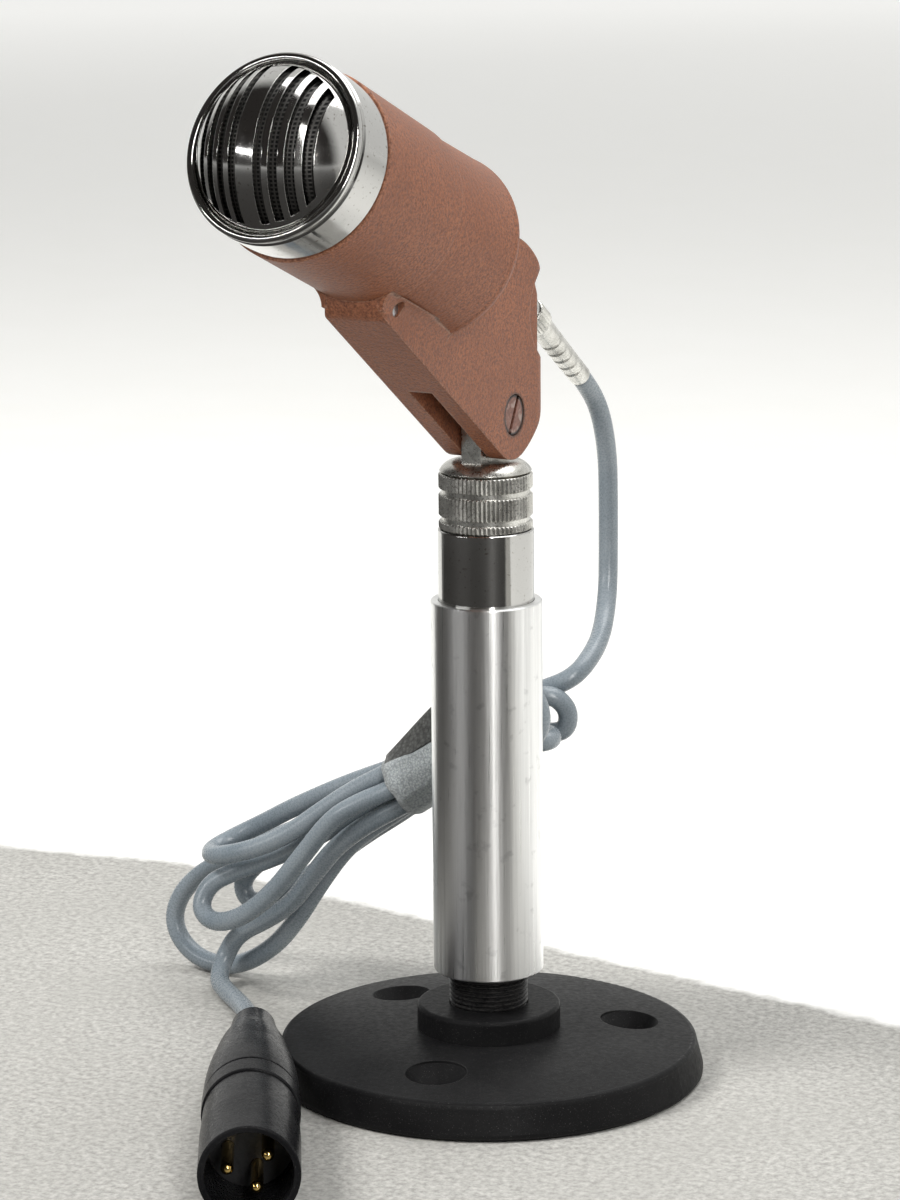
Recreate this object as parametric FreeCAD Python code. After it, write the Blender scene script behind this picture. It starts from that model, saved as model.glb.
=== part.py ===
import FreeCAD, Part
import math
import os

V = FreeCAD.Vector
os.makedirs("parts", exist_ok=True)

# A desk microphone on a short stand. Millimetres, +Z up. The origin is the centre of the
# base's underside, the microphone faces -Y, and its pivot lies along X above the base.

# ---- driving dimensions ----
# stand
BASE_R = 43.5
BASE_RIM_R = 42.1
BASE_RIM_Z = 6.8
BASE_TOP_Z = 9.4
HOLE_RING_R = 29.2
HOLE_FIRST_DEG = 37.0
HOLE_R = 2.9
COUNTERSINK_R = 6.1
COUNTERSINK_DEPTH = 3.6
HUB_R = 14.5
HUB_TOP_Z = 14.4
THREAD_R = 7.94
THREAD_DEPTH = 0.5
THREAD_PITCH = 0.941
THREAD_BORE_R = 8.0
STUD_BOTTOM_Z = 3.2
STUD_TOP_Z = 34.0
TUBE_R = 11.11
TUBE_BORE_R = 9.6
TUBE_BOTTOM_Z = 21.6
TUBE_TOP_Z = 97.8
SLEEVE_R = 9.52
SLEEVE_BORE_R = 8.3
SLEEVE_BOTTOM_Z = 78.0
SLEEVE_TOP_Z = 112.2
# swivel
RING_R = 9.3
RING_GROOVE_R = 8.75
RING_BOTTOM_Z = 112.35
RING_TOP_Z = 123.4
RING_TEETH = 64
KNURL_DEPTH = 0.35
NIPPLE_TOP_Z = 121.6
SPIGOT_R = 4.0
SPIGOT_BORE_R = 4.05
DOME_R = 9.1
DOME_BOTTOM_Z = 123.6
DOME_TOP_Z = 125.9
TONGUE_HALF = 2.15
TONGUE_HALF_DEPTH = 5.9
PIVOT_Z = 135.2
PIVOT_BOLT_R = 2.5
PIVOT_HEAD_R = 3.9
# microphone
MIC_TILT_DEG = 22.5
MIC_FRONT_Y = -78.6
MIC_FRONT_Z = 194.2
BARREL_R = 17.9
BARREL_BORE_R = 16.5
BARREL_REAR_T = 39.5
SHELL_REAR_T = 64.8
BACK_DOME = 1.2
BEZEL_R = 17.5
BEZEL_LENGTH = 10.4
DOME_SPHERE_R = 17.5
DOME_SPHERE_T = 8.1
SLOT_FIRST = 2.54
SLOT_PITCH = 2.73
SLOT_WIDTH = 1.6
SLOTS_EACH_SIDE = 4
SLOT_FIELD_R = 14.6
# swivel housing
CHEEK = 6.5
SLOPE_DEG = 35.4
HOUSING_FRONT_Y = -51.6
HOUSING_REAR_Y = 16.2
# round recess in each cheek that leaves a narrow boss for the connector
RECESS_R = 10.0
RECESS_Y = 16.8
RECESS_Z = 153.8
BOSS_HALF = 3.9
PIVOT_BOSS_R = 8.8
TONGUE_SLOT_HALF = 2.55
SADDLE_FILLET = 4.0
PIN_Y = -46.7
PIN_Z = 161.9
PIN_R = 1.45
# connector, along an axis parallel to the housing's sloping underside
NUT_Y = 20.7
NUT_Z = 151.4
NUT_R = 3.15
NUT_HALF = 2.6
NUT_TEETH = 26
BARREL_START = 2.9
RELIEF_END = 25.7
# cable and plug
CABLE_R = 2.05
PLUG_R = 9.5
PLUG_LENGTH = 84.0
PLUG_FRONT = V(1.4, -95.7, PLUG_R)
SHELL_BACK_S = 31.3
BOOT_FRONT_S = 31.4
CHUCK_BACK_S = 39.0
PLUG_HEADING_DEG = 120.8

PIVOT = V(0, 0, PIVOT_Z)
NUT_CENTRE = V(0, NUT_Y, NUT_Z)
SLOPE = math.radians(SLOPE_DEG)
CONNECTOR_AXIS = V(0, math.cos(SLOPE), -math.sin(SLOPE))
PLUG_REARWARD = V(math.cos(math.radians(PLUG_HEADING_DEG)), math.sin(math.radians(PLUG_HEADING_DEG)), 0)


# ---- helpers ----
def outline(start, *steps):
    """Closed wire in the XZ plane. A step is (x, z) for a line or ((xm, zm), (x, z)) for an arc."""
    edges = []
    here = V(start[0], 0, start[1])
    first = here
    for step in steps:
        if isinstance(step[0], tuple):
            middle = V(step[0][0], 0, step[0][1])
            there = V(step[1][0], 0, step[1][1])
            edges.append(Part.Arc(here, middle, there).toShape())
        else:
            there = V(step[0], 0, step[1])
            edges.append(Part.makeLine(here, there))
        here = there
    if here.distanceToPoint(first) > 1e-6:
        edges.append(Part.makeLine(here, first))
    return Part.Wire(edges)


def halfway_out(radius, apex, edge):
    """Point at half the radius on the sphere that runs from the axis at apex to the edge."""
    sag = apex - edge
    sphere = (radius**2 + sag**2) / (2 * sag)
    half = radius / 2
    return (half, apex - sphere + math.copysign(math.sqrt(sphere**2 - half**2), sphere))


def turned(start, *steps):
    """A solid of revolution about Z; the outline's x is the radius."""
    return Part.Face(outline(start, *steps)).revolve(V(0, 0, 0), V(0, 0, 1), 360)


def tube(radius, bore, bottom, top):
    return turned((bore, bottom), (radius, bottom), (radius, top), (bore, top))


def rod(radius, bottom, top):
    return Part.makeCylinder(radius, top - bottom, V(0, 0, bottom))


def ring_profile(radius, bore, bottom, top, chamfer):
    """Steps of a plain ring with chamfered outer edges."""
    return turned(
        (bore, bottom),
        (radius - chamfer, bottom),
        (radius, bottom + chamfer),
        (radius, top - chamfer),
        (radius - chamfer, top),
        (bore, top),
    )


def knurled(radius, depth, teeth, bottom, top):
    """A straight-knurled prism."""
    corners = []
    for i in range(2 * teeth):
        r = radius - depth * (i % 2)
        a = math.pi * i / teeth
        corners.append(V(r * math.cos(a), r * math.sin(a), bottom))
    wire = Part.makePolygon(corners + corners[:1])
    return Part.Face(wire).extrude(V(0, 0, top - bottom))


def moved(shape, placement):
    shape.Placement = placement.multiply(shape.Placement)
    return shape


def along(shape, origin, direction):
    """Moves a shape built about +Z so that its axis runs from origin in direction."""
    return moved(shape, FreeCAD.Placement(origin, FreeCAD.Rotation(V(0, 0, 1), direction)))


def in_mic(shape):
    """From the microphone's own frame: +Z out of the grille, origin at the rim, +Y its top."""
    turn = FreeCAD.Rotation(V(1, 0, 0), 90 - MIC_TILT_DEG)
    return moved(shape, FreeCAD.Placement(V(0, MIC_FRONT_Y, MIC_FRONT_Z), turn))


def on_connector(shape):
    return along(shape, NUT_CENTRE, CONNECTOR_AXIS)


def on_plug(shape):
    """From the plug's frame: +Z from its mouth to its tail, +X towards the table."""
    x_axis = V(0, 0, -1)
    y_axis = PLUG_REARWARD.cross(x_axis)
    turn = FreeCAD.Rotation(x_axis, y_axis, PLUG_REARWARD, "ZXY")
    return moved(shape, FreeCAD.Placement(PLUG_FRONT, turn))


def slab(points, half):
    """Side profile of (y, z) points, extruded from -half to +half along X."""
    corners = [V(-half, y, z) for y, z in points]
    return Part.Face(Part.makePolygon(corners + corners[:1])).extrude(V(2 * half, 0, 0))


def cross_rod(radius, y, z, x_from, x_to):
    return Part.makeCylinder(radius, x_to - x_from, V(x_from, y, z), V(1, 0, 0))


def route_tube(points, radius, label):
    """Tube along straight runs joined by tangent arcs; prints each arc's radius."""
    points = [V(*p) for p in points]
    edges = []
    here = points[0]
    length = 0.0
    for before, corner, after in zip(points, points[1:], points[2:]):
        run_in = (corner - before).Length
        run_out = (after - corner).Length
        u = (corner - before).normalize()
        w = (after - corner).normalize()
        half_turn = u.getAngle(w) / 2
        cut = 0.45 * min(run_in, run_out)
        bend = cut / math.tan(half_turn)
        start = corner - u * cut
        end = corner + w * cut
        middle_dir = (w - u).normalize()
        middle = corner + middle_dir * (bend / math.cos(half_turn) - bend)
        edges.append(Part.makeLine(here, start))
        edges.append(Part.Arc(start, middle, end).toShape())
        here = end
        print(f"{label}: bend radius {bend:.1f} mm, turn {math.degrees(2 * half_turn):.0f} deg")
    edges.append(Part.makeLine(here, points[-1]))
    path = Part.Wire(edges)
    section = Part.Wire([Part.makeCircle(radius, points[0], points[1] - points[0])])
    shell = path.makePipeShell([section], True, False)
    length = sum(e.Length for e in edges)
    expected = math.pi * radius * radius * length
    print(f"{label}: length {length:.1f} mm, volume {shell.Volume:.1f} of {expected:.1f}")
    return shell


def save(name, shape):
    if not shape.isValid():
        print("NOT VALID:", name)
    shape.exportStep(f"parts/{name}.step")


# ---- stand ----
def base_flange():
    body = turned(
        (0, 0),
        (BASE_R - 0.6, 0),
        (BASE_R, 0.6),
        (BASE_R, 1.4),
        (BASE_RIM_R + 0.15, BASE_RIM_Z - 0.6),
        ((BASE_RIM_R - 0.15, BASE_RIM_Z + 0.2), (BASE_RIM_R - 1.0, BASE_RIM_Z + 0.55)),
        ((28.0, 8.75), (HUB_R + 0.6, BASE_TOP_Z)),
        (THREAD_BORE_R, BASE_TOP_Z),
        (THREAD_BORE_R, STUD_BOTTOM_Z - 0.2),
        (0, STUD_BOTTOM_Z - 0.2),
    )
    for k in range(3):
        a = math.radians(HOLE_FIRST_DEG + 120 * k)
        x = HOLE_RING_R * math.cos(a)
        y = HOLE_RING_R * math.sin(a)
        body = body.cut(Part.makeCylinder(HOLE_R, BASE_TOP_Z + 2, V(x, y, -1)))
        top = BASE_TOP_Z - 1.0
        cone = Part.makeCone(HOLE_R, COUNTERSINK_R, COUNTERSINK_DEPTH, V(x, y, top - COUNTERSINK_DEPTH))
        body = body.cut(cone).cut(Part.makeCylinder(COUNTERSINK_R, 3, V(x, y, top)))
    return body


def hub_collar():
    return turned(
        (THREAD_BORE_R, BASE_TOP_Z),
        (HUB_R, BASE_TOP_Z),
        (HUB_R, HUB_TOP_Z - 0.8),
        ((HUB_R - 0.25, HUB_TOP_Z - 0.22), (HUB_R - 0.8, HUB_TOP_Z)),
        (THREAD_BORE_R, HUB_TOP_Z),
    )


def threaded_stud():
    steps = []
    z = STUD_BOTTOM_Z + 1.2
    while z + THREAD_PITCH < STUD_TOP_Z - 1.2:
        steps.append((THREAD_R, z + 0.12))
        steps.append((THREAD_R - THREAD_DEPTH, z + THREAD_PITCH / 2))
        steps.append((THREAD_R, z + THREAD_PITCH - 0.12))
        z += THREAD_PITCH
    core = THREAD_R - THREAD_DEPTH
    return turned((0, STUD_BOTTOM_Z), (core, STUD_BOTTOM_Z), *steps, (core, STUD_TOP_Z), (0, STUD_TOP_Z))


def stand_tube():
    return ring_profile(TUBE_R, TUBE_BORE_R, TUBE_BOTTOM_Z, TUBE_TOP_Z, 0.25)


def lower_bushing():
    return tube(TUBE_BORE_R, THREAD_BORE_R, TUBE_BOTTOM_Z + 0.6, STUD_TOP_Z + 3)


def chrome_sleeve():
    return ring_profile(SLEEVE_R, SLEEVE_BORE_R, SLEEVE_BOTTOM_Z, SLEEVE_TOP_Z, 0.2)


def top_nipple():
    """Pressed into the sleeve; its threaded top carries the ring and its bore the spigot."""
    return turned(
        (SPIGOT_BORE_R, 116.0),
        (7.0, 116.0),
        (7.0, 92.0),
        (SLEEVE_BORE_R, 92.0),
        (SLEEVE_BORE_R, SLEEVE_TOP_Z - 0.1),
        (THREAD_R, SLEEVE_TOP_Z + 0.1),
        (THREAD_R, NIPPLE_TOP_Z),
        (SPIGOT_BORE_R, NIPPLE_TOP_Z),
    )


# ---- swivel ----
def knurled_ring():
    core = rod(RING_GROOVE_R, RING_BOTTOM_Z, RING_TOP_Z)
    for low, high in ((RING_BOTTOM_Z, 113.9), (114.9, 119.3), (120.3, RING_TOP_Z)):
        band = knurled(RING_R, KNURL_DEPTH, RING_TEETH, low, high)
        trim = ring_profile(RING_R + 0.01, 0.1, low, high, 0.3).fuse(rod(0.2, low, high))
        core = core.fuse(band.common(trim))
    return core.removeSplitter().cut(rod(THREAD_R + 0.08, RING_BOTTOM_Z - 1, RING_TOP_Z + 1))


def swivel_stem():
    dome = turned(
        (0, DOME_BOTTOM_Z),
        (DOME_R - 0.3, DOME_BOTTOM_Z),
        (DOME_R, DOME_BOTTOM_Z + 0.3),
        ((DOME_R - 1.0, DOME_BOTTOM_Z + 1.5), (DOME_R - 3.4, DOME_TOP_Z)),
        (0, DOME_TOP_Z),
    )
    spigot = turned(
        (0, 113.2),
        (SPIGOT_R - 0.4, 113.2),
        (SPIGOT_R, 113.6),
        (SPIGOT_R, 114.3),
        (3.2, 114.3),
        (3.2, 115.2),
        (SPIGOT_R, 115.2),
        (SPIGOT_R, DOME_BOTTOM_Z + 0.1),
        (0, DOME_BOTTOM_Z + 0.1),
    )
    post = Part.makeBox(
        2 * TONGUE_HALF,
        2 * TONGUE_HALF_DEPTH,
        PIVOT_Z - DOME_TOP_Z + 1,
        V(-TONGUE_HALF, -TONGUE_HALF_DEPTH, DOME_TOP_Z - 1),
    )
    head = cross_rod(TONGUE_HALF_DEPTH, 0, PIVOT_Z, -TONGUE_HALF, TONGUE_HALF)
    hole = cross_rod(PIVOT_BOLT_R + 0.05, 0, PIVOT_Z, -5, 5)
    return dome.fuse([spigot, post, head]).removeSplitter().cut(hole)


def stem_clip():
    """Open spring clip in the spigot's groove."""
    ring = tube(6.0, 3.25, 114.35, 115.15)
    return ring.cut(Part.makeBox(4.4, 8, 2, V(-2.2, 0, 114)))


def thrust_washer():
    return tube(7.6, SPIGOT_R + 0.15, NIPPLE_TOP_Z + 0.05, DOME_BOTTOM_Z - 0.05)


# ---- microphone casing, in its own frame ----
def shell_profile(start_r, start_z):
    """Outer line of the rear shell from its front edge to its spherically domed back."""
    rear = -SHELL_REAR_T
    flat_r = start_r - 2.6
    return (
        (start_r, start_z),
        (start_r + 0.7, rear + 3.6),
        ((start_r + 0.1, rear + 0.9), (flat_r, rear)),
        (halfway_out(flat_r, rear - BACK_DOME, rear), (0, rear - BACK_DOME)),
    )


def mic_envelope():
    """The casing's outer volume, which the swivel housing is cut back from."""
    front = -BARREL_REAR_T
    line = shell_profile(BARREL_R - 0.5, front)
    return in_mic(
        turned((0, -BEZEL_LENGTH), (BARREL_R, -BEZEL_LENGTH), (BARREL_R, front), line[0], *line[1:])
    )


def mic_barrel():
    rear = -BARREL_REAR_T
    return in_mic(
        turned(
            (15.1, -3.4),
            (16.2, -3.4),
            (16.2, -BEZEL_LENGTH - 0.1),
            (BARREL_R - 0.2, -BEZEL_LENGTH - 0.1),
            (BARREL_R, -BEZEL_LENGTH - 0.3),
            (BARREL_R, rear + 0.3),
            (BARREL_R - 0.3, rear),
            (BARREL_BORE_R, rear),
            (BARREL_BORE_R, -12.0),
            (15.1, -12.0),
        )
    )


def rear_shell():
    front = -BARREL_REAR_T - 0.05
    line = shell_profile(BARREL_R - 0.5, front)
    rear = -SHELL_REAR_T + 1.4
    body = turned(
        (BARREL_BORE_R - 0.05, front),
        line[0],
        *line[1:],
        (0, rear),
        (15.0, rear),
        (15.6, front),
        (15.4, front + 4.5),
        (BARREL_BORE_R - 0.05, front + 4.5),
    )
    return in_mic(body)


def head_bezel():
    return in_mic(
        turned(
            (16.0, -0.9),
            ((16.6, 0.55), (17.2, -0.9)),
            (17.15, -1.4),
            (BEZEL_R, -1.8),
            (BEZEL_R, -BEZEL_LENGTH + 0.2),
            (BEZEL_R - 0.2, -BEZEL_LENGTH),
            (16.3, -BEZEL_LENGTH),
            (16.3, -1.6),
        )
    )


def spherical_skin(outer, inner, edge):
    """Thin dome round the grille's sphere, from the apex to the plane z = edge."""
    centre = -DOME_SPHERE_T

    def on(radius, z):
        return math.sqrt(radius**2 - (z - centre) ** 2)

    def mid(radius):
        r = on(radius, edge) * 0.6
        return (r, centre + math.sqrt(radius**2 - r**2))

    return (
        (0, centre + outer),
        (mid(outer), (on(outer, edge), edge)),
        (on(inner, edge), edge),
        (mid(inner), (0, centre + inner)),
    )


def grille():
    edge = -1.6
    dome = turned(*spherical_skin(DOME_SPHERE_R, DOME_SPHERE_R - 0.9, edge))
    flange = tube(16.24, 14.9, -2.8, edge + 0.01)
    body = dome.fuse(flange)
    field = rod(SLOT_FIELD_R, -1.0, 20)
    for side in (-1, 1):
        for k in range(SLOTS_EACH_SIDE):
            x = side * (SLOT_FIRST + k * SLOT_PITCH)
            bar = Part.makeBox(SLOT_WIDTH, 40, 22, V(x - SLOT_WIDTH / 2, -20, -1.0))
            body = body.cut(bar.common(field))
    return in_mic(body.removeSplitter())


def grille_screen():
    return in_mic(turned(*spherical_skin(DOME_SPHERE_R - 1.05, DOME_SPHERE_R - 1.45, -1.0)))


# ---- capsule and transformer, in the microphone's frame ----
def capsule_ring():
    return in_mic(tube(15.0, 13.7, -5.0, -3.5))


def capsule_cup():
    return in_mic(turned((13.4, -5.2), (14.3, -5.2), (14.3, -28.2), (0, -28.2), (0, -27.2), (13.4, -27.2)))


def capsule_gasket():
    return in_mic(tube(15.05, 14.35, -10.0, -6.0))


def diaphragm():
    return in_mic(
        turned(
            (0, -3.6),
            (halfway_out(6.2, -3.6, -5.6), (6.2, -5.6)),
            ((9.6, -5.0), (13.3, -5.6)),
            (13.3, -7.2),
            (12.4, -7.2),
            (12.4, -5.85),
            ((9.4, -5.35), (6.2, -5.85)),
            (halfway_out(6.2, -3.85, -5.85), (0, -3.85)),
        )
    )


def voice_coil():
    return in_mic(tube(6.65, 6.05, -9.8, -5.87))


def top_plate():
    return in_mic(tube(13.0, 7.0, -9.2, -7.2))


def magnet():
    return in_mic(tube(12.4, 7.6, -19.0, -9.2))


def pole_piece():
    return in_mic(turned((0, -7.2), (5.7, -7.2), (5.7, -19.0), (13.0, -19.0), (13.0, -22.0), (0, -22.0)))


def terminal_board():
    board = rod(13.8, -30.0, -28.6)
    for side in (-1, 1):
        board = board.cut(rod(0.9, -31, -28).translate(V(side * 7.0, 6.0, 0)))
    return in_mic(board)


def transformer_core():
    outer = Part.makeBox(14, 12, 14, V(-7, -6, -46))
    window = Part.makeBox(9, 14, 3, V(-4.5, -7, -42.5))
    second = Part.makeBox(9, 14, 3, V(-4.5, -7, -36.5))
    return in_mic(outer.cut(window).cut(second))


def transformer_coil():
    """Winding on the core's middle limb."""
    outer = Part.makeBox(8.4, 15, 8.8, V(-4.2, -7.5, -42.4))
    limb = Part.makeBox(9, 12.1, 3.1, V(-4.5, -6.05, -39.55))
    return in_mic(outer.cut(limb))


# ---- swivel housing ----
def housing_blank():
    """Side profile: short upright front, straight slope, boss round the pivot, full rear."""
    foot = V(0, -PIVOT_BOSS_R * math.sin(SLOPE), PIVOT_Z - PIVOT_BOSS_R * math.cos(SLOPE))
    corner_z = foot.z + (foot.y - HOUSING_FRONT_Y) * math.tan(SLOPE)
    boss_end = V(0, 3.5, PIVOT_Z - math.sqrt(PIVOT_BOSS_R**2 - 3.5**2))
    round_y = 2.2
    profile = outline(
        (HOUSING_FRONT_Y, 174.0),
        (HOUSING_FRONT_Y, corner_z + 2.0),
        (
            (HOUSING_FRONT_Y + 0.35, corner_z + 0.6),
            (HOUSING_FRONT_Y + round_y, corner_z - round_y * math.tan(SLOPE)),
        ),
        (foot.y, foot.z),
        ((-0.7, PIVOT_Z - PIVOT_BOSS_R + 0.03), (boss_end.y, boss_end.z)),
        ((11.3, 133.0), (HOUSING_REAR_Y, 144.5)),
        (HOUSING_REAR_Y, 150.5),
        ((12.4, 161.8), (-2.0, 170.8)),
        ((-10.0, 173.0), (-19.0, 174.0)),
    )
    face = Part.Face(profile)
    face.Placement = FreeCAD.Placement(V(CHEEK, 0, 0), FreeCAD.Rotation(V(0, 0, 1), 90))
    return face.extrude(V(-2 * CHEEK, 0, 0))


def housing_plan():
    """Plan of the housing: rounded front corners and a half-round back."""
    nose = HOUSING_REAR_Y - CHEEK
    front = HOUSING_FRONT_Y
    r = 1.6
    k = r * (1 - math.sqrt(0.5))
    wire = Part.Wire(
        [
            Part.makeLine(V(-CHEEK + r, front, 0), V(CHEEK - r, front, 0)),
            Part.Arc(V(CHEEK - r, front, 0), V(CHEEK - k, front + k, 0), V(CHEEK, front + r, 0)).toShape(),
            Part.makeLine(V(CHEEK, front + r, 0), V(CHEEK, nose, 0)),
            Part.Arc(V(CHEEK, nose, 0), V(0, HOUSING_REAR_Y, 0), V(-CHEEK, nose, 0)).toShape(),
            Part.makeLine(V(-CHEEK, nose, 0), V(-CHEEK, front + r, 0)),
            Part.Arc(V(-CHEEK, front + r, 0), V(-CHEEK + k, front + k, 0), V(-CHEEK + r, front, 0)).toShape(),
        ]
    )
    return Part.Face(wire).extrude(V(0, 0, 70)).translate(V(0, 0, 115))


def saddle_fillets():
    """Concave fillets between the cheeks and the barrel, as prisms along the microphone."""
    reach = BARREL_R + SADDLE_FILLET
    cx = CHEEK + SADDLE_FILLET
    cy = -math.sqrt(reach**2 - cx**2)
    scale = BARREL_R / reach
    on_barrel = V(cx * scale, cy * scale, 0)
    away = V(CHEEK - cx, 0, 0) + (on_barrel - V(cx, cy, 0))
    middle = V(cx, cy, 0) + away.normalize() * SADDLE_FILLET
    prisms = []
    for side in (-1, 1):
        flip = [V(side * p.x, p.y, -SHELL_REAR_T + 2.0) for p in (V(CHEEK, cy, 0), middle, on_barrel)]
        inner = V(side * (CHEEK - 1.0), -BARREL_R + 2.5, flip[0].z)
        low = V(side * (CHEEK - 1.0), cy, flip[0].z)
        wire = Part.Wire(
            [
                Part.makeLine(low, flip[0]),
                Part.Arc(*flip).toShape(),
                Part.makeLine(flip[2], inner),
                Part.makeLine(inner, low),
            ]
        )
        prism = Part.Face(wire).extrude(V(0, 0, SHELL_REAR_T - 2.0 - 24.0))
        prisms.append(in_mic(prism))
    return prisms


def tongue_slot():
    """Room for the stem's tongue over the whole tilt."""
    room = cross_rod(TONGUE_HALF_DEPTH + 0.5, 0, PIVOT_Z, -TONGUE_SLOT_HALF, TONGUE_SLOT_HALF)
    top = PIVOT_Z + TONGUE_HALF_DEPTH + 0.5
    sweep = slab(
        (
            (-26.2, 139.0),
            (-26.2, 143.8),
            (-22.5, top + 1.4),
            (0, top),
            (6.0, 137.4),
            (10.3, 125.6),
            (9.0, 120.0),
            (-12.0, 120.0),
        ),
        TONGUE_SLOT_HALF,
    )
    return room.fuse(sweep)


def swivel_housing():
    body = housing_blank().common(housing_plan())
    front_wall = Part.makeBox(60, 80, 80, V(-30, HOUSING_FRONT_Y, 120))
    for prism in saddle_fillets():
        body = body.fuse(prism.common(front_wall))
    body = body.removeSplitter()
    body = body.cut(mic_envelope())
    body = body.cut(tongue_slot())
    body = body.cut(cross_rod(PIVOT_BOLT_R + 0.03, 0, PIVOT_Z, -10, 10))
    for side in (-1, 1):
        x = side * CHEEK
        inner = x - side * 1.7
        low, high = min(x + side, inner), max(x + side, inner)
        body = body.cut(cross_rod(PIVOT_HEAD_R + 0.2, 0, PIVOT_Z, low, high))
    body = body.cut(cross_rod(PIN_R + 0.03, PIN_Y, PIN_Z, -9, 9))
    for low, high in ((-CHEEK - 1, -BOSS_HALF), (BOSS_HALF, CHEEK + 1)):
        body = body.cut(cross_rod(RECESS_R, RECESS_Y, RECESS_Z, low, high))
    return body.cut(on_connector(rod(2.62, -11.5, 0)))


def cross_pin():
    """Pin that ties the housing's front to the casing's keel."""
    return cross_rod(PIN_R, PIN_Y, PIN_Z, -CHEEK + 0.4, CHEEK - 0.4).cut(mic_envelope())


def pivot_bolt():
    head = cross_rod(PIVOT_HEAD_R, 0, PIVOT_Z, CHEEK - 1.65, CHEEK - 0.15)
    turn = FreeCAD.Rotation(V(1, 0, 0), 62)
    slot = moved(Part.makeBox(1.2, 12, 1.0, V(0, -6, -0.5)), FreeCAD.Placement(V(CHEEK - 0.9, 0, PIVOT_Z), turn))
    shank = cross_rod(PIVOT_BOLT_R, 0, PIVOT_Z, -CHEEK + 0.6, CHEEK - 1.5)
    return head.fuse(shank).cut(slot)


def pivot_nut():
    return cross_rod(PIVOT_HEAD_R, 0, PIVOT_Z, -CHEEK + 0.15, -CHEEK + 1.65).cut(
        cross_rod(PIVOT_BOLT_R + 0.02, 0, PIVOT_Z, -10, 0)
    )


def friction_washers():
    """One thin washer each side of the tongue."""
    pair = []
    for inner, outer in ((-TONGUE_SLOT_HALF + 0.02, -TONGUE_HALF - 0.06), (TONGUE_HALF + 0.06, TONGUE_SLOT_HALF - 0.02)):
        ring = cross_rod(5.4, 0, PIVOT_Z, inner, outer)
        pair.append(ring.cut(cross_rod(PIVOT_BOLT_R + 0.03, 0, PIVOT_Z, -5, 5)))
    return Part.makeCompound(pair)


# ---- cable connector ----
def connector_socket():
    return on_connector(tube(2.6, 1.5, -11.3, -0.2))


def connector_insert():
    """Insulator with the centre contact."""
    pin = turned((0, -11.0), (0.6, -11.0), (0.6, -1.6), (0.3, -1.2), (0, -1.2))
    return on_connector(tube(1.48, 0.55, -11.0, -5.0).fuse(pin))


def connector_nut():
    body = knurled(NUT_R, 0.28, NUT_TEETH, -NUT_HALF, NUT_HALF)
    trim = ring_profile(NUT_R + 0.01, 0.1, -NUT_HALF, NUT_HALF, 0.35).fuse(rod(0.2, -NUT_HALF, NUT_HALF))
    body = body.common(trim)
    return on_connector(body.cut(rod(2.67, -NUT_HALF - 1, 1.4)).cut(rod(2.1, 0, NUT_HALF + 1)))


def connector_barrel():
    """Tapered strain relief with turned ribs; its flange is held by the nut."""
    steps = []
    ribs = 5
    first, last = 9.0, 21.0
    for k in range(ribs):
        s = first + (last - first) * k / (ribs - 1)
        r = 2.52 - 0.012 * s
        steps.append((r, s - 0.75))
        steps.append(((r - 0.22, s), (r, s + 0.75)))
    return on_connector(
        turned(
            (0, 0),
            (2.58, 0),
            (2.58, 1.2),
            (2.02, 1.2),
            (2.02, BARREL_START - 0.1),
            (2.4, BARREL_START - 0.1),
            (2.52, BARREL_START + 0.2),
            *steps,
            (2.24, RELIEF_END - 0.5),
            ((2.18, RELIEF_END - 0.12), (2.06, RELIEF_END)),
            (0, RELIEF_END),
        )
    )


# ---- cable ----
EXIT = NUT_CENTRE + CONNECTOR_AXIS * RELIEF_END
# the drop hangs behind the stand; it is cut at the height where the two cable pieces meet
DROP = (
    (EXIT.x, EXIT.y, EXIT.z),
    (0.0, 46.4, 133.1),
    (0.0, 51.4, 127.2),
    (0.0, 54.4, 118.6),
    (0.0, 54.9, 110.0),
    (0.0, 54.9, 102.5),
)
LEAD = (
    (0.0, 54.9, 102.5),
    (0.0, 54.9, 96.0),
    (0.6, 53.4, 88.6),
    (2.6, 47.0, 82.2),
    (4.6, 39.0, 79.4),
    (3.7, 31.4, 78.9),
)
TAIL = (
    (-73.6, 22.7, 11.9),
    (-77.0, 22.8, 6.6),
    (-76.6, 18.6, 2.1),
    (-70.4, 12.4, 2.05),
    (-63.0, 6.4, 2.05),
    (-55.8, -1.6, 2.6),
    (-50.8, -9.6, 5.8),
    (-46.0, -16.4, 8.6),
    (-41.61, -23.55, 9.5),
)
# The hank slopes down behind the tube to the table. Its sections: distance down the slope,
# middle across the slope and in Y, half height, half depth.
HANK_ANCHOR = V(2.75, 21.5, 73.0)
HANK_DIP = math.radians(33.58)
HANK = (
    (-7.0, 1.5, 2.0, 4.0, 5.0),
    (-3.0, -0.5, 1.0, 10.3, 9.9),
    (7.0, -0.8, 0.6, 9.6, 9.4),
    (14.0, 0.0, 0.0, 6.1, 7.6),
    (39.5, 0.0, 0.0, 6.1, 7.6),
    (50.0, 0.5, 0.2, 7.5, 9.8),
    (60.0, 0.8, 0.0, 9.0, 11.6),
    (72.0, -0.8, 0.5, 12.0, 12.2),
    (88.0, -2.5, 0.7, 14.6, 12.2),
    (100.0, -4.0, 1.0, 13.8, 11.4),
    (109.0, -4.6, 6.5, 10.4, 5.6),
    (119.0, -2.0, 7.6, 5.0, 3.6),
)
STRAP_SECTIONS = (3, 4)
STRAP_THICK = 1.3


def on_hank(down, across, back):
    """Point given by its distance down the hank's slope, across it, and back in Y."""
    x = -down * math.cos(HANK_DIP) - across * math.sin(HANK_DIP)
    z = -down * math.sin(HANK_DIP) + across * math.cos(HANK_DIP)
    return HANK_ANCHOR + V(x, back, z)


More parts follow.
